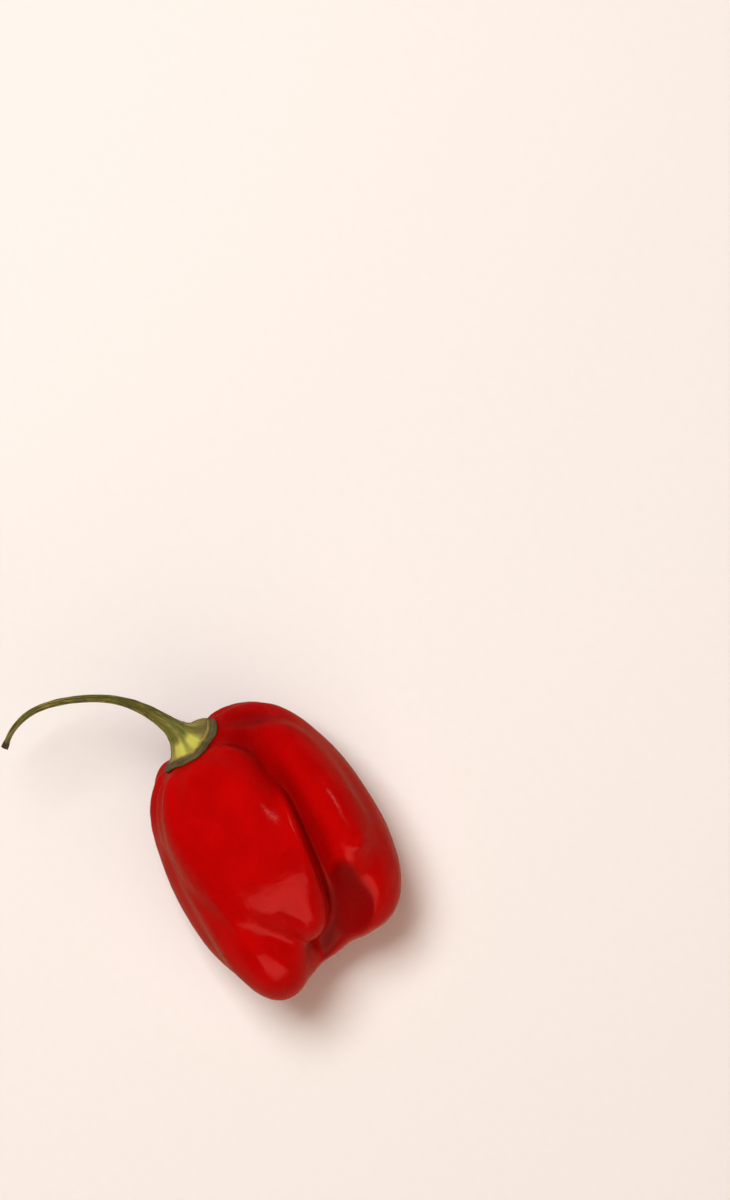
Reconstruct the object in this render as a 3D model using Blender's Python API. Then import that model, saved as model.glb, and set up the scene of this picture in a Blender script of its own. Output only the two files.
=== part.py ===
"""Habanero pepper lying on its side: a lobed red pod, and the green calyx and stem grown as one piece.

The pod's skin is a closed surface around a point inside it, the heart. The lobes on each side of
the long groove are blended into one field, hollows are taken out of it, and each ray from the
heart is followed until it leaves the pod. The calyx is draped over the shoulder of the pod and
runs on into the curved stem. Lengths are given in millimetres here and turned into metres when a
mesh is made.
"""
import bmesh
import bpy
import numpy as np

MM = 0.001

# The pod is about 50 mm long, 37 mm wide and 30 mm thick.
# A lobe is a rounded bar: its side of the groove, its centre and half-lengths, its yaw and pitch in
# degrees, how square its ends and its cross-section are, how much it widens towards the blossom
# end, and how far its two ends bend sideways and upwards. X runs from stem end to blossom end, Y
# across, Z up.
LOBES = {
    "front":       dict(side="left", centre=(-1.6, -4.8, 4.0), half=(18.6, 10.9, 11.4), yaw=4,
                        pitch=0, ends=2.5, section=2.9, widen=-0.12, bend=(1.6, -1.5)),
    "knob":        dict(side="left", centre=(11.2, -0.9, 5.2), half=(6.4, 4.9, 6.2), yaw=-12,
                        pitch=8, ends=2.2, section=2.2, widen=0.0, bend=(0.0, 0.0)),
    "snout":       dict(side="left", centre=(10.4, -8.6, 2.3), half=(14.4, 7.2, 9.3), yaw=-1,
                        pitch=10, ends=2.3, section=2.2, widen=-0.02, bend=(0.0, 0.0)),
    "snout tip":   dict(side="left", centre=(17.0, -5.9, -2.0), half=(6.2, 5.2, 6.0), yaw=0,
                        pitch=0, ends=2.2, section=2.2, widen=0.0, bend=(0.0, 0.0)),
    "lower left":  dict(side="left", centre=(0.3, -9.0, -4.2), half=(21.6, 9.6, 11.2), yaw=-1.5,
                        pitch=0, ends=2.3, section=2.2, widen=-0.02, bend=(0.9, 0.0)),
    "shoulder":    dict(side="left", centre=(-6.0, 1.0, -2.0), half=(18.2, 10.5, 10.0), yaw=-2,
                        pitch=0, ends=2.6, section=2.2, widen=0.0, bend=(0.0, 0.0)),
    "right":       dict(side="right", centre=(-3.6, 9.2, 2.6), half=(16.4, 7.6, 10.2), yaw=6,
                        pitch=0, ends=3.0, section=2.3, widen=0.03, bend=(-1.8, -1.2)),
    "lower right": dict(side="right", centre=(-2.2, 8.8, -3.6), half=(22.2, 9.5, 11.6), yaw=7,
                        pitch=-1, ends=2.6, section=2.4, widen=0.11, bend=(-2.3, -0.4)),
    "tip filling": dict(side="right", centre=(6.0, -1.3, -4.5), half=(16.3, 9.6, 9.0), yaw=0,
                        pitch=0, ends=2.6, section=2.2, widen=0.0, bend=(0.0, 0.0)),
}

# A hollow is the same kind of body, taken away from the lobes of its side with a rounded edge.
HOLLOWS = {
    "groove":      dict(side="right", centre=(-0.6, 5.0, 14.0), half=(17.5, 3.8, 5.8), yaw=-3,
                        pitch=7, ends=2.2, section=1.9, widen=0.2, bend=(-1.6, -1.5), edge=1.5),
    "end face":    dict(side="right", centre=(15.2, 5.6, 9.0), half=(16.0, 5.2, 6.0), yaw=-42,
                        pitch=38, ends=3.0, section=2.8, widen=0.0, bend=(0.0, 4.0), edge=0.3),
    "knob valley": dict(side="left", centre=(16.6, -4.6, 13.0), half=(7.5, 2.8, 4.2), yaw=35,
                        pitch=26, ends=2.0, section=1.8, widen=0.0, bend=(0.0, 0.0), edge=1.0),
}
BLEND = 0.45              # how softly the lobes run into each other
HEART = np.array([0.0, 3.2, -7.0])    # every point of the skin is seen from here
REST_LEVEL = -14.8        # height of the surface that the pod rests on
REST_SOFTNESS = 0.3       # depth over which a flat resting spot rounds into the skin
REACH = (2.0, 40.0)       # the skin's least and greatest distance from the heart
FLUTES = (12, 20.0, 0.22)             # round the calyx: their number, first angle, and depth
FLUTE_REACH = (6.5, 9.0, 12.0, 24.0)  # distances between which they rise and fade again
POD_SEGMENTS = 104
POD_RINGS = 55
TOP_CROWDING = 0.5        # how much closer together the mesh's lines run on top than at the sides

# The calyx sits on the pod's shoulder. Its six ribs stand at these angles, counted from the
# right-hand side towards the top.
CALYX_CENTRE = (-21.3, -4.8, 3.5)
CALYX_AXIS = (-0.94, -0.225, 0.25)
RIB_ANGLES = (-125.0, -70.0, -8.0, 42.0, 90.0, 160.0)
STEPS_PER_RIB = 5
SEAT_GAP = 0.3            # clearance between the calyx and the skin under it
NOTCH = (50.0, 26.0, 0.14)   # where the rim draws in: its angle, half-width, and depth as a share

# Rings of the calyx from the middle of its underside, round the rim and up to the neck:
# radius, height over the skin, lean to the right, and depth of the flats between the ribs.
CALYX_RINGS = (
    (1.6, SEAT_GAP, 0.0, 0.0),
    (3.6, SEAT_GAP, 0.0, 0.0),
    (5.4, SEAT_GAP, 0.03, 0.0),
    (6.1, 0.4, 0.03, 0.03),
    (6.2, 0.65, 0.03, 0.04),
    (5.7, 0.9, 0.05, 0.06),
    (5.1, 1.1, 0.08, 0.09),
    (4.6, 1.3, 0.14, 0.12),
    (4.3, 1.75, 0.2, 0.15),
    (3.5, 2.25, 0.18, 0.14),
    (2.7, 2.85, 0.12, 0.12),
    (2.15, 3.6, 0.03, 0.10),
)
DRAPE_ENDS = (1.4, 3.6)   # heights between which a ring stops following the skin

# The stem's middle line from the skin to the cut end, and its radius along the way.
STEM_LINE = (
    (-21.3, -4.6, 3.5), (-24.3, -5.4, 4.4), (-27.7, -6.9, 5.2), (-31.5, -9.4, 5.9),
    (-34.8, -13.0, 6.4), (-37.2, -17.5, 6.6), (-38.7, -22.3, 6.4), (-39.0, -26.5, 5.9),
    (-37.9, -30.2, 5.2), (-35.7, -33.1, 4.5),
)
STEM_RADIUS = (
    (3.6, 2.2), (4.4, 1.75), (5.5, 1.4), (7.0, 1.15), (9.5, 0.95), (13.5, 0.75), (18.0, 0.62),
    (24.0, 0.57), (31.0, 0.54), (35.5, 0.47), (37.0, 0.45), (37.8, 0.58), (38.6, 0.62),
)
STEM_RINGS = 30
RIDGE = 0.10              # relief of the ridges that run along the stem, as a share of its radius


def turned(yaw, pitch):
    """Rotation matrix: pitch about Y first, which lowers the far end, then yaw about Z."""
    a, b = np.radians([yaw, pitch])
    about_z = np.array([[np.cos(a), -np.sin(a), 0], [np.sin(a), np.cos(a), 0], [0, 0, 1]])
    about_y = np.array([[np.cos(b), 0, np.sin(b)], [0, 1, 0], [-np.sin(b), 0, np.cos(b)]])
    return about_z @ about_y


def lobe_field(points, lobe):
    """Roughly the distance from a lobe's skin: under 0 inside, over 0 outside."""
    local = (points - np.array(lobe["centre"])) @ turned(lobe["yaw"], lobe["pitch"])
    length, width, height = lobe["half"]
    along = local[..., 0] / length
    size = 1 + lobe["widen"] * along
    across = np.abs(local[..., 1] - lobe["bend"][0] * along ** 2) / (width * size)
    upward = np.abs(local[..., 2] - lobe["bend"][1] * along ** 2) / (height * size)
    ends, section = lobe["ends"], lobe["section"]
    ring = (across ** section + upward ** section) ** (1 / section)
    reach = (np.abs(along) ** ends + ring ** ends) ** (1 / ends)
    return (reach - 1) * min(lobe["half"])


def pod_field(points):
    """Both sides' lobes joined by a soft minimum, each side's hollows taken away beforehand."""
    halves = []
    for side in ("left", "right"):
        fields = [lobe_field(points, lobe) for lobe in LOBES.values() if lobe["side"] == side]
        half = -BLEND * np.logaddexp.reduce([-field / BLEND for field in fields])
        for hollow in (hollow for hollow in HOLLOWS.values() if hollow["side"] == side):
            edge = hollow["edge"]
            half = edge * np.logaddexp(half / edge, -lobe_field(points, hollow) / edge)
        halves.append(half)
    return -BLEND * np.logaddexp.reduce([-half / BLEND for half in halves])


def skin_distance(directions):
    """Distance from the heart to the skin along each unit direction, by halving the interval."""
    near = np.full(directions.shape[:-1], REACH[0])
    far = np.full(directions.shape[:-1], REACH[1])
    for _ in range(24):
        middle = (near + far) / 2
        outside = pod_field(HEART + directions * middle[..., None]) > 0
        far = np.where(outside, middle, far)
        near = np.where(outside, near, middle)
    distance = (near + far) / 2
    return flattened(directions, distance + fluting(HEART + directions * distance[..., None]))


def fluting(points):
    """Height of the shallow flutes that run out from the calyx over its shoulder."""
    side, top = upright_axes(unit(CALYX_AXIS))
    away = points - np.array(CALYX_CENTRE)
    number, first, depth = FLUTES
    turn = np.arctan2(away @ top, away @ side) - np.radians(first)
    radius = np.linalg.norm(away, axis=-1)
    strength = smoothstep(radius, *FLUTE_REACH[:2]) * (1 - smoothstep(radius, *FLUTE_REACH[2:]))
    return depth * np.cos(number * turn) * strength


def flattened(directions, distance):
    """Limits the skin to the resting plane, with a rounded edge and an exactly flat middle."""
    downward = np.maximum(-directions[..., 2], 1e-6)
    plane = (HEART[2] - REST_LEVEL) / downward
    overlap = np.maximum(REST_SOFTNESS - np.abs(distance - plane), 0)
    return np.minimum(distance, plane) - overlap ** 2 / (4 * REST_SOFTNESS)


def unit(vector):
    """The vector or vectors, at length 1."""
    vector = np.asarray(vector, dtype=float)
    return vector / np.linalg.norm(vector, axis=-1, keepdims=True)


def upright_axes(direction):
    """Unit vectors square to a direction that is never upright: its right-hand side and its top."""
    top = unit(np.array([0.0, 0.0, 1.0]) - direction[2] * direction)
    return np.cross(direction, top), top


def smooth_path(points, samples):
    """Even samples of a smooth curve through the points, and the length along it."""
    points = np.array(points)
    padded = np.vstack([2 * points[0] - points[1], points, 2 * points[-1] - points[-2]])
    fine = []
    for a, b, c, d in zip(padded, padded[1:], padded[2:], padded[3:]):
        t = np.linspace(0, 1, 24, endpoint=False)[:, None]
        fine.append(0.5 * (2 * b + (c - a) * t + (2 * a - 5 * b + 4 * c - d) * t ** 2
                           + (3 * b - a - 3 * c + d) * t ** 3))
    fine = np.vstack(fine + [points[-1:]])
    length = np.concatenate([[0], np.cumsum(np.linalg.norm(np.diff(fine, axis=0), axis=1))])
    wanted = samples * length[-1] if samples.max() <= 1 else samples
    return np.stack([np.interp(wanted, length, fine[:, i]) for i in range(3)], axis=1), length[-1]


def rib_grid():
    """Angles round the calyx with a step on each rib, and how near each is to a rib, 0 to 1."""
    ribs = np.array(RIB_ANGLES + (RIB_ANGLES[0] + 360,))
    steps = np.arange(STEPS_PER_RIB) / STEPS_PER_RIB
    angles = np.concatenate([a + (b - a) * steps for a, b in zip(ribs, ribs[1:])])
    nearness = np.tile(np.abs(2 * steps - 1), len(RIB_ANGLES))
    return np.radians(angles), nearness


def smoothstep(value, low, high):
    """0 under low, 1 over high, and a smooth rise between."""
    t = np.clip((value - low) / (high - low), 0, 1)
    return t * t * (3 - 2 * t)


def draped_ring(angles, radius, height):
    """Points around the calyx centre at a height over the skin, seen from the heart."""
    side, top = upright_axes(unit(CALYX_AXIS))
    flat = (np.array(CALYX_CENTRE) + radius[:, None] * (np.cos(angles)[:, None] * side
                                                       + np.sin(angles)[:, None] * top))
    outward = unit(flat - HEART)
    return HEART + outward * (skin_distance(outward) + height)[:, None]


def free_ring(centre, tangent, angles, radius):
    """A ring square to the stem's middle line, with its top upwards."""
    side, top = upright_axes(tangent)
    return centre + radius[:, None] * (np.cos(angles)[:, None] * side + np.sin(angles)[:, None] * top)


def stem_rings():
    """All rings of the calyx and stem, from the underside's middle to the cut end."""
    angles, nearness = rib_grid()
    heights = np.linspace(0.0, STEM_RADIUS[-1][0], 400)
    line, _ = smooth_path(STEM_LINE, heights)
    tangents = unit(np.gradient(line, axis=0))
    rings = []
    at, width, depth = NOTCH
    drawn_in = 1 - depth * np.exp(-((np.degrees(angles) - at) / width) ** 2)
    for radius, height, lean, flats in CALYX_RINGS:
        wide = radius * (1 + lean * np.cos(angles)) * (1 - flats * (1 - nearness ** 2)) * drawn_in
        draped = draped_ring(angles, wide, height)
        i = np.searchsorted(heights, height)
        free = free_ring(line[i], tangents[i], angles, wide)
        share = smoothstep(height, *DRAPE_ENDS)
        rings.append(draped * (1 - share) + free * share)
    start, end = STEM_RADIUS[0][0], STEM_RADIUS[-1][0]
    reach = start + (end - start) * np.linspace(0, 1, STEM_RINGS + 1)[1:] ** 0.9
    radii = np.interp(reach, *np.array(STEM_RADIUS).T)
    for height, radius in zip(reach, radii):
        i = min(np.searchsorted(heights, height), len(heights) - 1)
        relief = radius * (1 + RIDGE * (2 * nearness - 1))
        rings.append(free_ring(line[i], tangents[i], angles, relief))
    return np.array(rings)


def pod_rings():
    """Rings of skin points from the stem end to the blossom end."""
    polar = np.linspace(0, np.pi, POD_RINGS + 1)[1:-1, None]
    step = np.linspace(0, 2 * np.pi, POD_SEGMENTS, endpoint=False)[None, :]
    turn = step + TOP_CROWDING * np.cos(step)
    directions = np.stack([-np.cos(polar) + 0 * turn, np.sin(polar) * np.cos(turn),
                           np.sin(polar) * np.sin(turn)], axis=-1)
    return HEART + directions * skin_distance(directions)[..., None]


def loft(rings, start, end):
    """A closed mesh through the rings, with a fan to a point at each end."""
    made = bmesh.new()
    rows = [[made.verts.new(point) for point in ring] for ring in rings]
    around = len(rows[0])
    for lower, upper in zip(rows, rows[1:]):
        for i in range(around):
            j = (i + 1) % around
            made.faces.new((lower[i], lower[j], upper[j], upper[i]))
    for row, point in ((rows[0], start), (rows[-1], end)):
        middle = made.verts.new(point)
        for i in range(around):
            made.faces.new((row[i], row[(i + 1) % around], middle))
    bmesh.ops.recalc_face_normals(made, faces=made.faces)
    return made


def material(name, color, roughness):
    """A plain Principled material."""
    made = bpy.data.materials.new(name)
    made.use_nodes = True
    shader = made.node_tree.nodes["Principled BSDF"]
    shader.inputs["Base Color"].default_value = (*color, 1.0)
    shader.inputs["Roughness"].default_value = roughness
    shader.inputs["Metallic"].default_value = 0.0
    return made


def add_object(name, sculpted, collection, finish, shift):
    """Moves a mesh to the part's origin, in metres, and links it as one named object."""
    for vertex in sculpted.verts:
        vertex.co = [(value + offset) * MM for value, offset in zip(vertex.co, shift)]
    mesh = bpy.data.meshes.new(name)
    sculpted.to_mesh(mesh)
    sculpted.free()
    mesh.shade_smooth()
    mesh.materials.append(finish)
    collection.objects.link(bpy.data.objects.new(name, mesh))


def main():
    for old in list(bpy.data.objects):
        bpy.data.objects.remove(old)
    collection = bpy.data.collections.new("habanero pepper")
    bpy.context.scene.collection.children.link(collection)

    ends = np.array([[-1.0, 0.0, 0.0], [1.0, 0.0, 0.0]])
    pod = loft(pod_rings(), *(HEART + ends * skin_distance(ends)[:, None]))
    rings = stem_rings()
    stem = loft(rings, rings[0].mean(axis=0), rings[-1].mean(axis=0))
    points = np.array([vertex.co for mesh in (pod, stem) for vertex in mesh.verts])
    low, high = points.min(axis=0), points.max(axis=0)
    shift = (-(low[0] + high[0]) / 2, -(low[1] + high[1]) / 2, -low[2])

    add_object("fruit", pod, collection, material("red skin", (0.55, 0.012, 0.008), 0.25), shift)
    add_object("stem", stem, collection, material("green stem", (0.21, 0.23, 0.06), 0.6), shift)


main()
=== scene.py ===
"""A red habanero pepper lying on its side: its fine skin, its calyx and stem, and a plain studio.

The file is laid out as an add-on and is run as a script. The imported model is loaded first, as the
frame, and every piece is placed by it. The skin is one closed surface, found along every direction
from a point inside the pod, the heart. Until a mesh is made, lengths are in millimetres from the
pod's middle, with X from stem end to blossom end, Y across, and Z up.
"""

import bpy
import numpy as np
from bpy.props import FloatProperty, FloatVectorProperty, IntProperty, PointerProperty
from mathutils import Matrix, Vector


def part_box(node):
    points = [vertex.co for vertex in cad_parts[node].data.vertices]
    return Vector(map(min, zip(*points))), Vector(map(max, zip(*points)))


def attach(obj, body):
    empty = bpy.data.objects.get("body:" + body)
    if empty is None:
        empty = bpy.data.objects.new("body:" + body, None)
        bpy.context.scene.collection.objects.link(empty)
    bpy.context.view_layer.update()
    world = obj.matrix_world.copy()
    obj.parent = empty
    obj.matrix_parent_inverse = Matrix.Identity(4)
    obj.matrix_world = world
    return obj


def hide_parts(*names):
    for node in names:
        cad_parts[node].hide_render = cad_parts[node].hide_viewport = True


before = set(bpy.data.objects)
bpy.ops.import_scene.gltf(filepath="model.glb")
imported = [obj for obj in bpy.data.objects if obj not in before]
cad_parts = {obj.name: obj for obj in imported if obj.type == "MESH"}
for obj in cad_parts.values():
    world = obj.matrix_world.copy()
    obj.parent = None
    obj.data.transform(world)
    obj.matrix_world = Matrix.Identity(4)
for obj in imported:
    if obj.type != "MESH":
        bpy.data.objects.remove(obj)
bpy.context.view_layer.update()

bl_info = {
    "name": "Habanero Pepper",
    "version": (1, 0, 0),
    "blender": (4, 5, 0),
    "location": "View3D > Sidebar > Pepper",
    "description": "Fine skin, calyx, stem and studio for a habanero pepper",
    "category": "Add Mesh",
}

MM = 0.001

# A lobe is a rounded bar: its side of the groove, its centre and half-lengths, its yaw and pitch in
# degrees, how square its ends and its cross-section are, how much it widens towards the blossom
# end, and how far its two ends bend sideways and upwards.
LOBES = {
    "front":       dict(side="left", centre=(-1.6, -4.8, 4.0), half=(18.6, 10.9, 11.4), yaw=4,
                        pitch=0, ends=2.5, section=2.9, widen=-0.12, bend=(1.6, -1.5)),
    "knob":        dict(side="left", centre=(11.2, -0.9, 5.2), half=(6.4, 4.9, 6.2), yaw=-12,
                        pitch=8, ends=2.2, section=2.2, widen=0.0, bend=(0.0, 0.0)),
    "crest":       dict(side="left", centre=(0.6, 3.3, 9.2), half=(9.8, 2.5, 4.3), yaw=-8,
                        pitch=2, ends=3.0, section=3.2, widen=0.0, bend=(0.0, -1.2)),
    "snout":       dict(side="left", centre=(10.4, -8.6, 2.3), half=(14.4, 7.2, 9.3), yaw=-1,
                        pitch=10, ends=2.3, section=2.2, widen=-0.02, bend=(0.0, 0.0)),
    "snout tip":   dict(side="left", centre=(17.0, -5.9, -2.0), half=(6.2, 5.2, 6.0), yaw=0,
                        pitch=0, ends=2.2, section=2.2, widen=0.0, bend=(0.0, 0.0)),
    "lower left":  dict(side="left", centre=(0.4, -9.2, -4.2), half=(21.4, 9.8, 11.2), yaw=-1.5,
                        pitch=0, ends=2.3, section=2.2, widen=0.0, bend=(0.9, 0.0)),
    "left flank":  dict(side="left", centre=(2.0, -10.6, 1.5), half=(18.5, 6.2, 8.3), yaw=-1,
                        pitch=0, ends=2.4, section=2.6, widen=0.0, bend=(0.5, 0.0)),
    "shoulder":    dict(side="left", centre=(-6.0, 1.0, -2.0), half=(18.2, 10.5, 10.0), yaw=-2,
                        pitch=0, ends=2.6, section=2.2, widen=0.0, bend=(0.0, 0.0)),
    "right":       dict(side="right", centre=(-3.6, 9.2, 2.6), half=(16.4, 7.6, 10.2), yaw=6,
                        pitch=0, ends=3.0, section=2.3, widen=0.03, bend=(-1.8, -1.2)),
    "lower right": dict(side="right", centre=(-1.4, 9.0, -3.6), half=(22.6, 9.6, 11.6), yaw=6.5,
                        pitch=-1, ends=2.8, section=2.4, widen=0.04, bend=(-2.6, -0.4)),
    "tip filling": dict(side="right", centre=(6.0, -1.3, -4.5), half=(16.3, 9.6, 9.0), yaw=0,
                        pitch=0, ends=2.6, section=2.2, widen=0.0, bend=(0.0, 0.0)),
}

# A hollow is the same kind of body, taken away from the lobes of its side with a rounded edge.
HOLLOWS = {
    "groove":      dict(side="right", centre=(-0.6, 5.0, 14.0), half=(17.5, 3.8, 5.8), yaw=-3,
                        pitch=7, ends=2.2, section=1.9, widen=0.2, bend=(-1.6, -1.5), edge=1.5),
    "end face":    dict(side="right", centre=(16.9, 4.9, 8.9), half=(16.0, 5.6, 6.0), yaw=-42,
                        pitch=38, ends=3.6, section=4.0, widen=0.0, bend=(0.0, 4.0), edge=0.3),
    "knob valley": dict(side="left", centre=(16.6, -4.6, 13.0), half=(7.5, 2.8, 4.2), yaw=35,
                        pitch=26, ends=2.0, section=1.8, widen=0.0, bend=(0.0, 0.0), edge=1.0),
}
HEART = np.array([0.0, 3.2, -7.0])    # every point of the skin is seen from here
REACH = (2.0, 40.0)                   # distances from the heart between which the skin lies
HALVINGS = 20                         # steps of the search for the skin
FLUTES = (12, 20.0, 0.32)             # round the calyx: their number, first angle, and depth
FLUTE_REACH = (6.5, 9.0, 12.0, 24.0)  # distances between which they rise and fade again
REST_SOFTNESS = 0.3                   # how softly the flat resting spots run into the skin

# Painted shade: how much the red is darkened on the groove's wall, on the end face and where the
# two sides meet, where shade falls. The end face's painted shade reaches over a wider body than the
# one that is taken away.
GROOVE_PAINTED_SHADE, END_FACE_PAINTED_SHADE, SEAM_PAINTED_SHADE = 0.30, 0.58, 0.55
END_FACE_REACH = dict(centre=(15.4, 3.2, 8.9), half=(16.0, 8.0, 6.0))
WALL_REACH = (0.25, 1.1)   # distances from a hollow between which its painted shade fades
SIDE_REACH = (0.1, 0.8)    # how much farther the left side is where the painted shade of the walls sets in
SEAM_REACH = 3.0           # distance of the farther side at which the painted shade of the depth ends
SEAM_HEIGHTS = (0.0, 4.0)  # heights between which the painted shade of the depth sets in

# The skin's low relief: height in millimetres, size of its blotches, and seed.
RELIEF = ((0.11, 5.0, 3), (0.036, 2.1, 5), (0.012, 1.1, 9))
RELIEF_START = (0.2, 2.0)  # heights over the floor between which the relief sets in

# Fine ridges of the skin, or folds if the height is negative: middle line in plan, width, height.
CREASES = (
    (((-3.5, -16.9), (1.1, -16.3), (3.8, -15.8), (6.7, -15.2), (9.5, -15.4), (14.8, -15.2),
      (18.1, -15.4)), 0.8, 0.18),
    (((0.5, -13.0), (2.7, -12.8), (5.8, -12.4), (10.5, -11.4), (15.3, -10.6), (16.8, -10.4),
      (18.4, -10.6)), 0.7, 0.24),
    (((-8.1, 16.0), (-2.7, 15.9), (1.8, 16.5), (5.0, 16.9), (7.7, 18.4)), 0.7, 0.16),
    (((10.5, -4.6), (12.8, -2.9), (15.0, -0.8)), 0.8, -0.22),
    (((4.4, 15.1), (6.2, 13.8), (7.5, 11.8)), 0.7, 0.22),
    (((5.5, 11.3), (6.9, 13.4), (7.1, 15.6), (9.5, 15.9)), 0.8, 0.24),
    (((-3.1, 4.3), (0.1, 4.9), (3.8, 4.8), (7.3, 4.5), (10.1, 4.2), (12.2, 4.0), (14.1, 3.2),
      (15.6, 1.7), (16.6, -0.7)), 0.5, 0.16),
)
CREASE_HEIGHTS = (-9.0, -5.0)  # heights between which they set in

# The calyx sits on the shoulder, and its ribs stand at these angles from its right-hand side.
CALYX_CENTRE = (-21.3, -4.8, 3.5)
CALYX_AXIS = (-0.94, -0.225, 0.25)
RIB_ANGLES = (-125.0, -70.0, -8.0, 42.0, 90.0, 160.0)

# Where the calyx's border is drawn in, or stands out if negative: angle, width, share. It also
# frays a little at random, in millimetres, from one radius to the other.
NOTCHES = ((46.0, 24.0, 0.26), (146.0, 18.0, 0.10), (196.0, 16.0, -0.15))
FRAY, FRAY_RADII = 0.16, (4.6, 6.0)

# Rings of the calyx from its underside round the rim to the neck: radius, height over the skin,
# lean to the right, depth of the flats between the ribs.
CALYX_RINGS = (
    (1.6, 0.0, 0.0, 0.0),
    (3.6, 0.0, 0.0, 0.0),
    (5.2, -0.05, 0.03, 0.0),
    (5.95, 0.08, 0.03, 0.03),
    (6.2, 0.3, 0.03, 0.04),
    (6.05, 0.55, 0.03, 0.05),
    (5.6, 0.8, 0.05, 0.06),
    (5.1, 1.05, 0.08, 0.09),
    (4.6, 1.3, 0.14, 0.12),
    (4.3, 1.75, 0.2, 0.15),
    (3.5, 2.25, 0.18, 0.14),
    (2.7, 2.85, 0.12, 0.12),
    (2.15, 3.6, 0.03, 0.10),
)
DRAPE_ENDS = (1.4, 3.6)  # heights between which a ring leaves the skin for the middle line
CALYX_STEPS = 8          # rings for each row above

# The stem's middle line from the skin to the cut end, and its radius along the way.
STEM_LINE = (
    (-21.3, -4.6, 3.5), (-24.3, -5.4, 4.4), (-27.7, -6.9, 5.2), (-31.5, -9.4, 5.9),
    (-34.8, -13.0, 6.4), (-37.2, -17.5, 6.6), (-38.7, -22.3, 6.4), (-39.0, -26.5, 5.9),
    (-37.9, -30.2, 5.2), (-35.7, -33.1, 4.5),
)
STEM_RADIUS = (
    (3.6, 2.2), (4.4, 1.8), (5.5, 1.47), (7.0, 1.22), (9.5, 0.98), (13.5, 0.75), (18.0, 0.62),
    (24.0, 0.57), (31.0, 0.54), (35.5, 0.47), (37.0, 0.45), (37.8, 0.58), (38.6, 0.62),
)
LINE_STEPS, LINE_SAMPLES = 48, 1200  # steps from point to point, and even samples of the line
NECK_FADE = (-1.0, 4.0)  # from the first of these radii on, the neck's section turns into ribs

# Fine ribs of the stem: depth, number round it, and twist in radians a millimetre; then lumps.
STEM_WAVES = ((0.035, 9, 0.12), (0.02, 17, -0.2))
STEM_LUMPS = 0.07

# A lamp stands in a direction of the picture (to the right, upwards) and at an angle over the
# floor: its distance, its size, its power, its colour, and whether it shades or is mirrored.
PALE, COOL, WARM = (1.0, 1.0, 1.0), (0.94, 1.0, 1.04), (1.0, 0.8, 0.68)
LAMPS = (
    ("key lamp", -0.62, 0.78, 63.0, 0.9, (0.4, 0.4), 7.5, COOL, "shades"),
    ("fill lamp", -0.1, 0.1, 84.0, 0.9, (1.0, 1.0), 1.9, WARM, "shades"),
    ("low fill lamp", 0.6, -0.8, 45.0, 0.9, (1.2, 1.0), 3.4, WARM, "shades"),
    ("window panel", 0.5, -0.8, 38.0, 0.9, (0.9, 0.5), 5.2, WARM, "mirrored"),
    ("small lamp", 0.89, 0.456, 33.0, 0.9, (0.12, 0.10), 0.6, PALE, "mirrored"),
)

# The tent that is mirrored round the pepper: its bright side in the picture, and its two colours.
BRIGHT_SIDE = (0.5, -0.87, 0.0)
TENT_DARK, TENT_PALE = (0.06, 0.014, 0.010), (0.60, 0.22, 0.14)

# How far across the floor the camera stands from the pod's middle, in metres.
CAMERA_PLACE = (-0.03013, 0.03339)


# Geometry

def turned(yaw, pitch):
    """Rotation matrix: pitch about Y first, which lowers the far end, then yaw about Z."""
    a, b = np.radians([yaw, pitch])
    about_z = np.array([[np.cos(a), -np.sin(a), 0], [np.sin(a), np.cos(a), 0], [0, 0, 1]])
    about_y = np.array([[np.cos(b), 0, np.sin(b)], [0, 1, 0], [-np.sin(b), 0, np.cos(b)]])
    return about_z @ about_y


def unit(vector):
    """The vector or vectors, at length 1."""
    vector = np.asarray(vector, dtype=float)
    return vector / np.linalg.norm(vector, axis=-1, keepdims=True)


def smoothstep(value, low, high):
    """0 under low, 1 over high, and 3t^2 - 2t^3 between."""
    t = np.clip((value - low) / (high - low), 0, 1)
    return t * t * (3 - 2 * t)


def lobe_field(points, lobe):
    """Roughly the distance from a lobe's skin: (|x|^e + (|y|^s + |z|^s)^(e/s))^(1/e) - 1, scaled."""
    local = (points - np.array(lobe["centre"])) @ turned(lobe["yaw"], lobe["pitch"])
    length, width, height = lobe["half"]
    along = local[..., 0] / length
    size = 1 + lobe["widen"] * along
    across = np.abs(local[..., 1] - lobe["bend"][0] * along ** 2) / (width * size)
    upward = np.abs(local[..., 2] - lobe["bend"][1] * along ** 2) / (height * size)
    ends, section = lobe["ends"], lobe["section"]
    ring = (across ** section + upward ** section) ** (1 / section)
    reach = (np.abs(along) ** ends + ring ** ends) ** (1 / ends)
    return (reach - 1) * min(lobe["half"])


def side_fields(points, blend):
    """The lobes of a side are joined by a soft minimum, -b log(sum(exp(-field / b))), and its
    hollows taken away by a soft maximum, e log(exp(field / e) + exp(-hollow / e))."""
    halves = []
    for side in ("left", "right"):
        fields = [lobe_field(points, lobe) for lobe in LOBES.values() if lobe["side"] == side]
        half = -blend * np.logaddexp.reduce([-field / blend for field in fields])
        for hollow in (hollow for hollow in HOLLOWS.values() if hollow["side"] == side):
            edge = hollow["edge"]
            half = edge * np.logaddexp(half / edge, -lobe_field(points, hollow) / edge)
        halves.append(half)
    return halves


def pod_field(points, blend):
    """The two sides of the groove, joined by the same soft minimum."""
    return -blend * np.logaddexp.reduce([-half / blend for half in side_fields(points, blend)])


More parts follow.
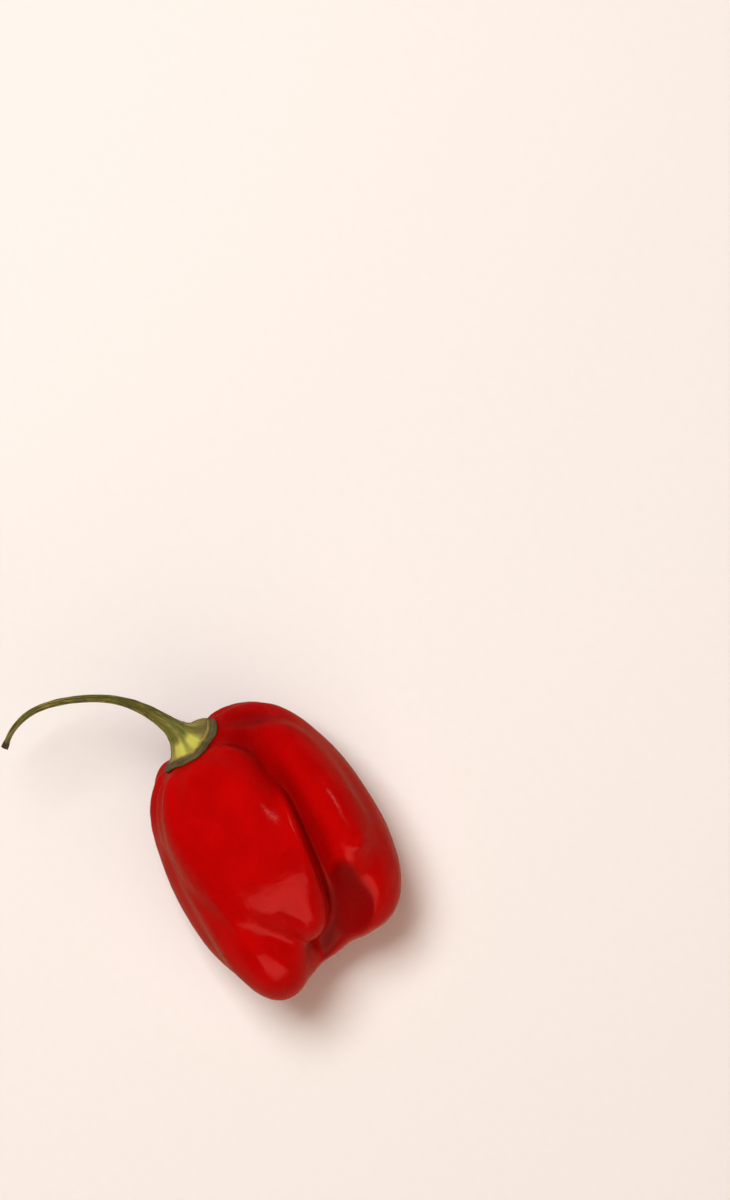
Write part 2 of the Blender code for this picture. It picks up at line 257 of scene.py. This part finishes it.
def skin_distance(directions, pod):
    """Distance from the heart to the skin along unit directions, by halving; flat where it rests."""
    near = np.full(directions.shape[:-1], REACH[0])
    far = np.full(directions.shape[:-1], REACH[1])
    for _ in range(HALVINGS):
        middle = (near + far) / 2
        outside = pod_field(HEART + directions * middle[..., None], pod.blend) > 0
        far, near = np.where(outside, middle, far), np.where(outside, near, middle)
    distance = (near + far) / 2
    distance = distance + fluting(HEART + directions * distance[..., None])
    plane = (pod.middle_height / MM + HEART[2]) / np.maximum(-directions[..., 2], 1e-6)
    overlap = np.maximum(REST_SOFTNESS - np.abs(distance - plane), 0)
    return np.minimum(distance, plane) - overlap ** 2 / (4 * REST_SOFTNESS)


def fluting(points):
    """Height of the flutes that run out from the calyx: depth cos(number (angle - first)), raised
    and faded by the distance from the calyx's middle."""
    side, top = upright_axes(unit(CALYX_AXIS))
    away = points - np.array(CALYX_CENTRE)
    number, first, depth = FLUTES
    turn = np.arctan2(away @ top, away @ side) - np.radians(first)
    radius = np.linalg.norm(away, axis=-1)
    strength = smoothstep(radius, *FLUTE_REACH[:2]) * (1 - smoothstep(radius, *FLUTE_REACH[2:]))
    return depth * np.cos(number * turn) * strength


def cloud(points, size, seed):
    """Smooth random field from -1 to 1 with blotches of about that size: values on a lattice of
    cubes, blended by a smoothstep along each of the three directions."""
    cubes, start = 32, 100
    values = np.random.default_rng(seed).uniform(-1, 1, (cubes, cubes, cubes))
    scaled = points / size + start
    cell = np.floor(scaled).astype(int)
    t = scaled - cell
    t = t * t * (3 - 2 * t)
    total = 0
    for corner in np.ndindex(2, 2, 2):
        weight = np.prod(np.where(corner, t, 1 - t), axis=-1)
        i, j, k = np.moveaxis((cell + corner) % cubes, -1, 0)
        total = total + weight * values[i, j, k]
    return total


def grid_normals(grid):
    """Unit normals of a grid that closes on itself sideways, from differences of its neighbours."""
    down = np.gradient(grid, axis=0)
    across = np.roll(grid, -1, axis=1) - np.roll(grid, 1, axis=1)
    return unit(np.cross(down, across) + 1e-12)


def line_distance(points, line):
    """Distance in plan from each point to a line of (x, y) points, and how far along it, 0 to 1."""
    line = np.array(line, dtype=float)
    flat = points[..., :2]
    best = np.full(flat.shape[:-1], np.inf)
    share = np.zeros(flat.shape[:-1])
    lengths = np.linalg.norm(np.diff(line, axis=0), axis=1)
    start = 0.0
    for a, b, length in zip(line, line[1:], lengths):
        t = np.clip((flat - a) @ (b - a) / length ** 2, 0, 1)
        away = np.linalg.norm(flat - a - t[..., None] * (b - a), axis=-1)
        share = np.where(away < best, (start + t * length) / lengths.sum(), share)
        best = np.minimum(best, away)
        start += length
    return best, share


def pod_skin(pod):
    """Grid of skin points with poles at the stem end and the blossom end. A point is the heart plus
    a unit direction (-cos p, sin p cos t, sin p sin t) times the skin distance, with p by row and
    t = s + crowding cos(s) by column, and relief is then added along the normal."""
    polar = np.linspace(0, np.pi, pod.rings + 1)[1:-1, None]
    step = np.linspace(0, 2 * np.pi, pod.segments, endpoint=False)[None, :]
    turn = step + pod.crowding * np.cos(step)
    directions = np.stack([-np.cos(polar) + 0 * turn, np.sin(polar) * np.cos(turn),
                           np.sin(polar) * np.sin(turn)], axis=-1)
    grid = HEART + directions * skin_distance(directions, pod)[..., None]
    ends = np.array([[-1.0, 0.0, 0.0], [1.0, 0.0, 0.0]])
    poles = HEART + ends * skin_distance(ends, pod)[:, None]
    normals = grid_normals(grid)
    normals *= np.sign((normals * (grid - HEART)).sum(axis=-1).mean())
    lifted = smoothstep(grid[..., 2] + pod.middle_height / MM, *RELIEF_START)
    return grid + normals * (pod_relief(grid, pod) * lifted)[..., None], poles


def pod_relief(points, pod):
    """Low relief of the skin in millimetres: broad and fine undulation, and on the upper half the
    creases, each height exp(-(distance / width)^2), faded towards its two ends."""
    total = pod.unevenness * sum(height * cloud(points, size, seed) for height, size, seed in RELIEF)
    upper = smoothstep(points[..., 2], *CREASE_HEIGHTS)
    for line, width, height in CREASES:
        distance, share = line_distance(points, line)
        total = total + height * upper * np.exp(-(distance / width) ** 2) * np.sin(np.pi * share) ** 0.7
    return total


def pod_shade(points, blend):
    """How much painted shade darkens the red at each point: a hollow's share on its own wall, 0 away
    from it and on the other side of the groove, and a share in the groove's depth, where both sides
    are near."""
    left, right = side_fields(points, blend)
    groove, end = (1 - smoothstep(lobe_field(points, body), *WALL_REACH)
                   for body in (HOLLOWS["groove"], dict(HOLLOWS["end face"], **END_FACE_REACH)))
    walls = np.maximum(GROOVE_PAINTED_SHADE * groove, END_FACE_PAINTED_SHADE * end)
    depth = 1 - smoothstep(np.maximum(left, right), 0.0, SEAM_REACH)
    return np.maximum(walls * smoothstep(left - right, *SIDE_REACH),
                      SEAM_PAINTED_SHADE * depth * smoothstep(points[..., 2], *SEAM_HEIGHTS))


def upright_axes(direction):
    """Unit vectors square to a direction that is never upright: its right-hand side and its top."""
    top = unit(np.array([0.0, 0.0, 1.0]) - direction[2] * direction)
    return np.cross(direction, top), top


def through(points, steps):
    """Rows of a smooth curve through the rows given (Catmull-Rom), with that many steps between."""
    points = np.array(points, dtype=float)
    padded = np.vstack([2 * points[0] - points[1], points, 2 * points[-1] - points[-2]])
    t = np.linspace(0, 1, steps, endpoint=False)[:, None]
    pieces = [0.5 * (2 * b + (c - a) * t + (2 * a - 5 * b + 4 * c - d) * t ** 2
                     + (3 * b - a - 3 * c + d) * t ** 3)
              for a, b, c, d in zip(padded, padded[1:], padded[2:], padded[3:])]
    return np.vstack(pieces + [points[-1:]])


def rib_angles(steps):
    """Angles round the calyx in radians, with that many steps from rib to rib, and how near each
    is to a rib, from 0 half-way to 1 on it."""
    ribs = np.array(RIB_ANGLES + (RIB_ANGLES[0] + 360,))
    share = np.arange(steps) / steps
    angles = np.concatenate([a + (b - a) * share for a, b in zip(ribs, ribs[1:])])
    return np.radians(angles), np.tile(np.abs(2 * share - 1), len(RIB_ANGLES))


def field_round(angles, radius, height, seed):
    """The random field along a circle of that radius, at that height, in blotches of 0.8 each."""
    circle = np.stack([radius * np.cos(angles), radius * np.sin(angles), 0 * angles + height], axis=-1)
    return cloud(circle, 0.8, seed)


def stem_surface(pod, stem):
    """Grid of rings from the calyx's underside, round its rim, up its neck and along the stem.
    A ring of the calyx is draped on the skin, seen from the heart; a ring of the stem is square to
    its middle line, with radius r(s) (1 + ridges(angle, s)); between, one turns into the other.
    With it comes what the material reads at each point: its height and radius in millimetres, 1 on
    a rib to 0 between two, its turn in degrees, and two places for noise that closes round it."""
    angles, nearness = rib_angles(stem.rib_steps)
    line = through(STEM_LINE, LINE_STEPS)
    length = np.concatenate([[0], np.cumsum(np.linalg.norm(np.diff(line, axis=0), axis=1))])
    heights = np.linspace(0.0, STEM_RADIUS[-1][0], LINE_SAMPLES)
    line = np.stack([np.interp(heights, length, line[:, i]) for i in range(3)], axis=1)
    tangents = unit(np.gradient(line, axis=0))
    side, top = upright_axes(unit(CALYX_AXIS))
    drawn_in = 1 - sum(depth * np.exp(-((np.degrees(angles) - at) / width) ** 2)
                       for at, width, depth in NOTCHES)

    def free_ring(height, radius):
        i = min(np.searchsorted(heights, height), len(heights) - 1)
        right, up = upright_axes(tangents[i])
        return line[i] + radius[:, None] * (np.cos(angles)[:, None] * right
                                            + np.sin(angles)[:, None] * up)

    rings, marks = [], []
    frayed = FRAY * field_round(angles, 3.0, 7.0, 11)
    for radius, height, lean, flats in through(CALYX_RINGS, CALYX_STEPS):
        neck = (1 + lean * np.cos(angles)) * (1 - flats * (1 - nearness ** 2)) * drawn_in
        wide = radius * neck + smoothstep(radius, *FRAY_RADII) * frayed
        outward = unit(CALYX_CENTRE - HEART + wide[:, None] * (np.cos(angles)[:, None] * side
                                                              + np.sin(angles)[:, None] * top))
        draped = HEART + outward * (skin_distance(outward, pod) + height)[:, None]
        share = smoothstep(height, *DRAPE_ENDS)
        rings.append(draped * (1 - share) + free_ring(max(height, 0), wide) * share)
        marks.append((height, radius))
    start, end = STEM_RADIUS[0][0], STEM_RADIUS[-1][0]
    reach = np.linspace(start, end, stem.rings + 1)[1:]
    radii = np.interp(reach, *np.array(STEM_RADIUS).T)

    # The section of the calyx's last ring runs on as the neck, and ribs take its place.
    for height, radius in zip(reach, radii):
        fade = smoothstep(height - start, *NECK_FADE)
        fine = sum(depth * np.cos(number * angles + twist * height)
                   for depth, number, twist in STEM_WAVES)
        lumps = STEM_LUMPS * field_round(angles, 1.4, 0.5 * height, 7)
        ribs = (1 + stem.ridge * (2 * nearness - 1)) * (1 + fine + lumps)
        rings.append(free_ring(height, radius * (neck * (1 - fade) + ribs * fade)))
        marks.append((height, radius))
    height, radius = (np.array(mark)[:, None] + 0 * angles for mark in zip(*marks))
    return np.array(rings), {
        "height": height,
        "radius": radius,
        "crest": nearness + 0 * height,
        "turn": np.degrees(angles) + 0 * height,
        "streak": np.stack([2.2 * np.cos(angles) + 0 * height,
                            2.2 * np.sin(angles) + 0 * height, 0.22 * height], axis=-1),
        "rim": np.stack([1.5 * np.cos(angles) + 0 * radius,
                         1.5 * np.sin(angles) + 0 * radius, 2.4 * radius], axis=-1),
    }


def grid_mesh(name, grid, poles, shift):
    """Closed mesh from a grid that wraps sideways, its two end rows closed by a fan to a pole, with
    a UV map of turn by row. It is turned inside out if its volume is negative."""
    rows, columns = grid.shape[:2]
    points = (np.vstack([grid.reshape(-1, 3), poles]) + shift) * MM
    row, column = np.meshgrid(np.arange(rows - 1), np.arange(columns), indexing="ij")
    after = (column + 1) % columns
    quads = np.stack([row * columns + column, row * columns + after,
                      (row + 1) * columns + after, (row + 1) * columns + column], -1).reshape(-1, 4)
    u, v = np.arange(columns), (rows - 1) * columns
    first = np.stack([(u + 1) % columns, u, np.full(columns, rows * columns)], -1)
    last = np.stack([v + u, v + (u + 1) % columns, np.full(columns, rows * columns + 1)], -1)
    triangles = np.vstack([first, last])
    a, b, c, d = (points[quads[:, i]] for i in range(4))
    volume = (np.cross(a, b) * c + np.cross(a, c) * d).sum()
    if volume < 0:
        quads, triangles = quads[:, ::-1], triangles[:, ::-1]
    mesh = bpy.data.meshes.new(name)
    mesh.from_pydata(points.tolist(), [], quads.tolist() + triangles.tolist())
    corner = np.concatenate([quads.ravel(), triangles.ravel()])
    face_column = np.concatenate([np.repeat(column.ravel(), 4), np.repeat(np.tile(u, 2), 3)])
    corner_column = np.where(corner < rows * columns, corner % columns, face_column)
    wrapped = corner_column + columns * ((face_column == columns - 1) & (corner_column == 0))
    corner_row = np.where(corner < rows * columns, corner // columns, 0) + 1
    corner_row = np.where(corner == rows * columns, 0, corner_row)
    corner_row = np.where(corner == rows * columns + 1, rows + 1, corner_row)
    uv = np.stack([wrapped / columns, corner_row / (rows + 1)], axis=-1)
    mesh.uv_layers.new(name="Skin").data.foreach_set("uv", uv.ravel())
    mesh.shade_smooth()
    return mesh


def add_attributes(mesh, fields):
    """Numbers and vectors for each point of a grid, for the material to read; each of the two poles
    takes those of a point on the row beside it."""
    for name, values in fields.items():
        kind, key = ("FLOAT_VECTOR", "vector") if values.ndim == 3 else ("FLOAT", "value")
        flat = values.reshape(-1, *values.shape[2:])
        flat = np.concatenate([flat, flat[:1], flat[-1:]])
        mesh.attributes.new(name, kind, "POINT").data.foreach_set(key, flat.ravel())


def add_piece(mesh, finish, node):
    """Links the mesh as a piece of its own name that stands for a node of the frame."""
    mesh.materials.append(finish)
    piece = bpy.data.objects.new(mesh.name, mesh)
    bpy.context.scene.collection.objects.link(piece)
    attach(piece, "root")
    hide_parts(node)
    return piece


def pod_shift(grid, pod):
    """How far the pod's middle is from the frame's origin. In plan, the middle of the skin's box
    goes to the middle of the node's."""
    low, high = (np.array(corner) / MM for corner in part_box("fruit"))
    middle = (low + high) / 2 - (grid.min(axis=(0, 1)) + grid.max(axis=(0, 1))) / 2
    return np.array([middle[0], middle[1], low[2] + pod.middle_height / MM])


# Materials

class Socket:
    """A shader output in an expression: + - * add Math nodes, from either side."""

    def __init__(self, finish, output):
        self.finish, self.output = finish, output

    def __add__(self, other):
        return self.finish.math("ADD", self, other)

    def __radd__(self, other):
        return self.finish.math("ADD", other, self)

    def __sub__(self, other):
        return self.finish.math("SUBTRACT", self, other)

    def __rsub__(self, other):
        return self.finish.math("SUBTRACT", other, self)

    def __mul__(self, other):
        return self.finish.math("MULTIPLY", self, other)

    def __rmul__(self, other):
        return self.finish.math("MULTIPLY", other, self)


class Finish:
    """A material, or the world, built from expressions on Socket values."""

    def __init__(self, name, kind="materials", shader="Principled BSDF"):
        self.owner = getattr(bpy.data, kind).new(name)
        self.owner.use_nodes = True
        self.tree = self.owner.node_tree
        self.shader = self.tree.nodes[shader]

    def node(self, kind, settings=None, inputs=None, output=0):
        """Any node: its settings first, then its sockets."""
        made = self.tree.nodes.new(kind)
        for key, value in (settings or {}).items():
            setattr(made, key, value)
        for key, value in (inputs or {}).items():
            self.feed(made.inputs[key], value)
        return Socket(self, made.outputs[output])

    def feed(self, socket, value):
        """Links a Socket to an input, or sets a plain value on it."""
        if isinstance(value, Socket):
            self.tree.links.new(value.output, socket)
        elif hasattr(value, "__len__") and len(value) == 3 and socket.type == "RGBA":
            socket.default_value = (*value, 1.0)
        else:
            socket.default_value = value

    def math(self, operation, *values):
        """A number worked out of others."""
        return self.node("ShaderNodeMath", {"operation": operation}, dict(enumerate(values)))

    def mix(self, factor, first, second):
        """The first colour at factor 0, the second at 1."""
        return self.node("ShaderNodeMix", {"data_type": "RGBA"},
                         {0: factor, 6: first, 7: second}, output=2)

    def rise(self, value, low, high):
        """0 where the value is under low, 1 over high, smooth between."""
        return self.node("ShaderNodeMapRange", {"interpolation_type": "SMOOTHSTEP"},
                         {"Value": value, "From Min": low, "From Max": high,
                          "To Min": 0.0, "To Max": 1.0})

    def place(self):
        """Object coordinates, in metres."""
        return self.node("ShaderNodeTexCoord", output=3)

    def attribute(self, name, vector=False):
        """A number or a vector that the mesh holds for each point."""
        return self.node("ShaderNodeAttribute", {"attribute_name": name}, output=1 if vector else 2)

    def noise(self, vector, scale, detail=2.0, roughness=0.5):
        """Random blotches from 0 to 1 and mostly near a half, that many to a unit of the vector."""
        return self.node("ShaderNodeTexNoise", None, {"Vector": vector, "Scale": scale,
                                                      "Detail": detail, "Roughness": roughness})

    def bump(self, height, distance, strength):
        """A normal bent by a height from 0 to 1 that stands for that distance in metres."""
        return self.node("ShaderNodeBump", None,
                         {"Height": height, "Distance": distance, "Strength": strength})

    def surface(self, **values):
        """Feeds the shader's sockets; underscores stand for spaces."""
        for key, value in values.items():
            self.feed(self.shader.inputs[key.replace("_", " ")], value)
        return self.owner


def skin_finish(pod):
    """Waxy skin: deep red with faint blotches and a soft gloss; painted shade darkens the hollows,
    which are also duller.
    """
    finish = Finish("Red waxy skin")
    place = finish.place()
    blotch = finish.noise(place, 140.0, detail=4.0, roughness=0.6)
    base = finish.mix(finish.rise(blotch, 0.35, 0.65), tuple(pod.deep_red), tuple(pod.red))
    # Painted shade: the red darkens towards the shade red on the walls of the hollows and in the seam.
    shade = finish.attribute("shade")
    base = finish.mix(shade, base, tuple(pod.painted_shade_red))
    grain = finish.noise(place, 1500.0, detail=2.0)
    ripple = finish.noise(place, 420.0, detail=3.0, roughness=0.55)
    normal = finish.bump(ripple * 0.8 + grain * 0.2, 0.0002, 0.6)
    roughness = 0.16 + 0.08 * blotch + 0.3 * shade
    return finish.surface(Base_Color=base, Roughness=roughness, Normal=normal, IOR=1.25,
                          Specular_Tint=(1.0, 0.5, 0.45, 1.0))


def stem_finish(stem):
    """Olive stem with ochre crests and dark furrows, yellow-green facets on the calyx that a rib
    divides, a dried brown band along its rim, and a dark cut end."""
    finish = Finish("Green stem")
    place = finish.place()
    height, radius = finish.attribute("height"), finish.attribute("radius")
    crest, turn = finish.attribute("crest"), finish.attribute("turn")
    streak = finish.attribute("streak", vector=True)
    fibre = finish.noise(streak, 2.6, detail=5.0, roughness=0.65)
    strand = finish.noise(streak, 1.1, detail=3.0, roughness=0.6)
    speck = finish.noise(place, 1100.0, detail=4.0, roughness=0.65)

    # Dark furrows that deepen up the stem, ochre crests, and dark blots on the ribs.
    furrow = finish.rise(fibre - 0.12 * crest, 0.36, 0.56)
    furrow = furrow * (0.35 + 0.9 * finish.rise(height, 4.0, 14.0))
    base = finish.mix(furrow, tuple(stem.green), tuple(stem.dark_green))
    ochre = finish.rise(strand + 0.22 * crest, 0.60, 0.78)
    base = finish.mix(ochre * 0.85, base, tuple(stem.crest_color))
    blot = finish.noise(place, 260.0, detail=3.0)
    blotted = finish.rise(crest * 0.3 + blot, 0.62, 0.8) * finish.rise(height, 4.0, 7.0)
    base = finish.mix(blotted * 0.6, base, tuple(stem.dark_green))

    # Facets: bright between the ribs on the calyx, fading up the neck and towards the underside.
    middle = 1 - finish.rise(crest, 0.5, 0.98)
    on_calyx = finish.rise(radius, 2.3, 3.3) * (1 - finish.rise(radius, 4.5, 5.0))
    upper = finish.rise(turn, 30.0, 56.0) * (1 - finish.rise(turn, 136.0, 158.0))
    yellow = on_calyx * upper * (0.25 + 0.75 * middle) * (0.7 + 0.6 * strand)
    base = finish.mix(yellow, base, tuple(stem.facet_color))
    brown_side = finish.rise(radius, 2.6, 4.2) * (1 - finish.rise(turn, 18.0, 50.0))
    base = finish.mix(brown_side * (0.3 + 0.8 * blot), base, tuple(stem.dry_color))

    # A dried band along the rim, with paler streaks round it.
    ring = finish.noise(finish.attribute("rim", vector=True), 1.6, detail=5.0, roughness=0.7)
    ragged = radius + 1.0 * (ring - 0.5) + 0.7 * (speck - 0.5)
    dry = finish.rise(ragged, 4.55, 4.95)
    shade = finish.mix(finish.rise(ring, 0.32, 0.66), tuple(stem.dry_dark), tuple(stem.dry_color))
    base = finish.mix(dry * 0.92, base, shade)
    edge = finish.rise(ragged, 4.4, 4.7) * (1 - finish.rise(ragged, 4.75, 5.15))
    base = finish.mix(edge * 0.65, base, tuple(stem.crest_color))

    # The cut end is dark.
    cut = finish.rise(height + 0.8 * (speck - 0.5), 37.2, 37.8)
    base = finish.mix(cut, base, tuple(stem.dry_dark))
    relief = 0.6 * fibre + 0.4 * speck
    return finish.surface(Base_Color=base, Roughness=0.42 + 0.25 * dry, IOR=1.35,
                          Normal=finish.bump(relief, 0.00025, 0.6))


def floor_finish(stage):
    """Matt pale card with a faint grain."""
    finish = Finish("Pale card")
    grain = finish.noise(finish.place(), 600.0, detail=3.0)
    shade = finish.mix(grain, tuple(0.97 * c for c in stage.floor_color), tuple(stage.floor_color))
    return finish.surface(Base_Color=shade, Roughness=0.85,
                          Normal=finish.bump(grain, 0.00005, 0.2))


def tent(bright_side):
    """A world of soft warm light, dark overhead and pale low down, most so on its bright side: the
    pale share along a direction d is 0.35 + 0.65 d.side - 2 max(d.z, 0) + 0.3 max(-d.z, 0)."""
    world = Finish("Soft tent", "worlds", "Background")
    direction = world.node("ShaderNodeTexCoord")
    sideways = world.node("ShaderNodeVectorMath", {"operation": "DOT_PRODUCT"},
                          {0: direction, 1: bright_side}, output=1)
    height = world.node("ShaderNodeSeparateXYZ", None, {0: direction}, output=2)
    above, below = world.math("MAXIMUM", height, 0.0), world.math("MAXIMUM", 0.0 - height, 0.0)
    share = 0.35 + 0.65 * sideways - 2.0 * above + 0.3 * below
    pale = world.mix(share, TENT_DARK, TENT_PALE)
    return world.surface(Color=pale)


# Settings

class PodSettings(bpy.types.PropertyGroup):
    """Sizes and colours of the pod."""
    segments: IntProperty(name="Segments", description="Points round the pod", default=400, min=24)
    rings: IntProperty(name="Rings", description="Rows from calyx to blossom end", default=240, min=16)
    crowding: FloatProperty(name="Crowding", description="How much closer the points lie on top",
                            default=0.5, min=0.0, max=0.8)
    blend: FloatProperty(name="Blend", description="How softly the lobes run into each other",
                         default=0.45, min=0.05)
    middle_height: FloatProperty(name="Middle height", description="Height of the pod's middle",
                                 default=14.8 * MM, unit="LENGTH", precision=4)
    unevenness: FloatProperty(name="Unevenness", description="Share of the skin's low relief",
                              default=1.0, subtype="FACTOR", min=0.0, max=2.0)
    red: FloatVectorProperty(name="Red", description="Main colour of the ripe skin",
                             default=(0.47, 0.0012, 0.001), subtype="COLOR", min=0.0, max=1.0)
    deep_red: FloatVectorProperty(name="Deep red", description="Darker blotches",
                                  default=(0.41, 0.0008, 0.0008), subtype="COLOR", min=0.0, max=1.0)
    # The colour of the painted shade in the hollows.
    painted_shade_red: FloatVectorProperty(name="Painted shade red", description="Painted shade in the hollows",
                                    default=(0.06, 0.0, 0.0), subtype="COLOR", min=0.0, max=1.0)


class StemSettings(bpy.types.PropertyGroup):
    """Sizes and colours of the calyx and stem."""
    rib_steps: IntProperty(name="Rib steps", description="Points from rib to rib", default=24, min=4)
    rings: IntProperty(name="Rings", description="Rings along the stem", default=260, min=16)
    ridge: FloatProperty(name="Ridge", description="Relief of the ribs as a share of the radius",
                         default=0.10, subtype="FACTOR", min=0.0, max=0.4)
    green: FloatVectorProperty(name="Green", description="Main colour of the stem",
                               default=(0.155, 0.16, 0.03), subtype="COLOR", min=0.0, max=1.0)
    dark_green: FloatVectorProperty(name="Dark green", description="Furrows of the stem",
                                    default=(0.045, 0.034, 0.008), subtype="COLOR", min=0.0, max=1.0)
    crest_color: FloatVectorProperty(name="Crest", description="Ochre crests and streaks",
                                     default=(0.36, 0.27, 0.06), subtype="COLOR", min=0.0, max=1.0)
    facet_color: FloatVectorProperty(name="Facet", description="Yellow-green facets of the calyx",
                                     default=(0.58, 0.54, 0.09), subtype="COLOR", min=0.0, max=1.0)
    dry_color: FloatVectorProperty(name="Dry", description="Dried brown parts of the calyx",
                                   default=(0.14, 0.10, 0.04), subtype="COLOR", min=0.0, max=1.0)
    dry_dark: FloatVectorProperty(name="Dark dry", description="Darkest dried parts and the cut end",
                                  default=(0.04, 0.032, 0.015), subtype="COLOR", min=0.0, max=1.0)


class StageSettings(bpy.types.PropertyGroup):
    """The floor, the light and the camera."""
    floor_size: FloatProperty(name="Floor size", description="Width of the floor", default=6.0,
                              unit="LENGTH")
    floor_color: FloatVectorProperty(name="Floor", description="Colour of the pale floor",
                                     default=(0.86, 0.82, 0.76), subtype="COLOR", min=0.0, max=1.0)
    camera_height: FloatProperty(name="Camera height", description="Height of the camera over the "
                                 "pod's middle", default=0.9, unit="LENGTH")
    view_height: FloatProperty(name="View height", description="Height of the picture at the pod's "
                               "middle", default=0.2064, unit="LENGTH")
    camera_turn: FloatProperty(name="Camera turn", description="Turn of the picture about the "
                               "upright axis", default=np.radians(62.87), subtype="ANGLE")


# Pieces

class PEPPER_OT_pod(bpy.types.Operator):
    """Builds the pod's fine skin in place of the node fruit"""
    bl_idname = "pepper.pod"
    bl_label = "Pod Skin"

    def execute(self, context):
        pod = context.scene.pepper_pod
        grid, poles = pod_skin(pod)
        mesh = grid_mesh("pod_skin", grid, poles, pod_shift(grid, pod))
        # Each point carries how much painted shade darkens its red.
        add_attributes(mesh, {"shade": pod_shade(grid, pod.blend)})
        add_piece(mesh, skin_finish(pod), "fruit")
        return {"FINISHED"}


class PEPPER_OT_stem(bpy.types.Operator):
    """Builds the calyx and stem in place of the node stem"""
    bl_idname = "pepper.stem"
    bl_label = "Calyx and Stem"

    def execute(self, context):
        pod, stem = context.scene.pepper_pod, context.scene.pepper_stem
        grid, _ = pod_skin(pod)
        shift = pod_shift(grid, pod)
        rings, values = stem_surface(pod, stem)
        poles = [rings[0].mean(axis=0), rings[-1].mean(axis=0)]
        mesh = grid_mesh("calyx_and_stem", rings, poles, shift)
        add_attributes(mesh, values)
        add_piece(mesh, stem_finish(stem), "stem")
        return {"FINISHED"}


class PEPPER_OT_stage(bpy.types.Operator):
    """Builds the pale floor, the soft light and the camera over the pepper"""
    bl_idname = "pepper.stage"
    bl_label = "Studio"

    def execute(self, context):
        pod, stage = context.scene.pepper_pod, context.scene.pepper_stage
        half = stage.floor_size / 2
        mesh = bpy.data.meshes.new("floor")
        mesh.from_pydata([(-half, -half, 0), (half, -half, 0), (half, half, 0), (-half, half, 0)],
                         [], [(0, 1, 2, 3)])
        mesh.materials.append(floor_finish(stage))
        floor = bpy.data.objects.new("floor", mesh)
        context.scene.collection.objects.link(floor)
        floor.visible_glossy = False

        grid, _ = pod_skin(pod)
        middle = Vector(pod_shift(grid, pod)) * MM
        turn = Matrix.Rotation(stage.camera_turn, 3, "Z")
        camera = bpy.data.cameras.new("camera")
        camera.lens = camera.sensor_width * stage.camera_height / stage.view_height
        camera.clip_end = 20.0
        view = bpy.data.objects.new("camera", camera)
        context.scene.collection.objects.link(view)
        view.location = middle + Vector((*CAMERA_PLACE, stage.camera_height))
        view.rotation_euler = turn.to_euler()
        context.scene.camera = view

        context.scene.world = tent(turn @ Vector(BRIGHT_SIDE))
        for name, right, up, rise, distance, size, power, color, purpose in LAMPS:
            away = turn @ Vector((right, up, 0)).normalized()
            direction = away * np.cos(np.radians(rise)) + Vector((0, 0, np.sin(np.radians(rise))))
            lamp = bpy.data.lights.new(name, "AREA")
            lamp.shape, lamp.size, lamp.size_y, lamp.energy = "RECTANGLE", *size, power
            lamp.color = color
            holder = bpy.data.objects.new(name, lamp)
            context.scene.collection.objects.link(holder)
            holder.location = middle + direction * distance
            holder.rotation_euler = direction.to_track_quat("Z", "Y").to_euler()
            mirrored = purpose == "mirrored"
            holder.visible_glossy = lamp.cycles.use_multiple_importance_sampling = mirrored
            holder.visible_diffuse = not mirrored
        context.scene.view_settings.view_transform = "Standard"
        return {"FINISHED"}


class PEPPER_PT_panel(bpy.types.Panel):
    """Lists the pieces and their settings"""
    bl_label = "Habanero Pepper"
    bl_idname = "PEPPER_PT_panel"
    bl_space_type = "VIEW_3D"
    bl_region_type = "UI"
    bl_category = "Pepper"

    def draw(self, context):
        for operator, group in ((PEPPER_OT_pod, "pepper_pod"), (PEPPER_OT_stem, "pepper_stem"),
                                (PEPPER_OT_stage, "pepper_stage")):
            box = self.layout.box()
            box.operator(operator.bl_idname)
            settings = getattr(context.scene, group)
            for name in settings.__annotations__:
                box.prop(settings, name)


CLASSES = (PodSettings, StemSettings, StageSettings, PEPPER_OT_pod, PEPPER_OT_stem,
           PEPPER_OT_stage, PEPPER_PT_panel)


def register():
    for cls in CLASSES:
        bpy.utils.register_class(cls)
    bpy.types.Scene.pepper_pod = PointerProperty(type=PodSettings)
    bpy.types.Scene.pepper_stem = PointerProperty(type=StemSettings)
    bpy.types.Scene.pepper_stage = PointerProperty(type=StageSettings)


def unregister():
    for name in ("pepper_pod", "pepper_stem", "pepper_stage"):
        delattr(bpy.types.Scene, name)
    for cls in reversed(CLASSES):
        bpy.utils.unregister_class(cls)


def main():
    """Builds every piece and the studio."""
    register()
    bpy.ops.pepper.pod()
    bpy.ops.pepper.stem()
    bpy.ops.pepper.stage()


if __name__ == "__main__":
    main()
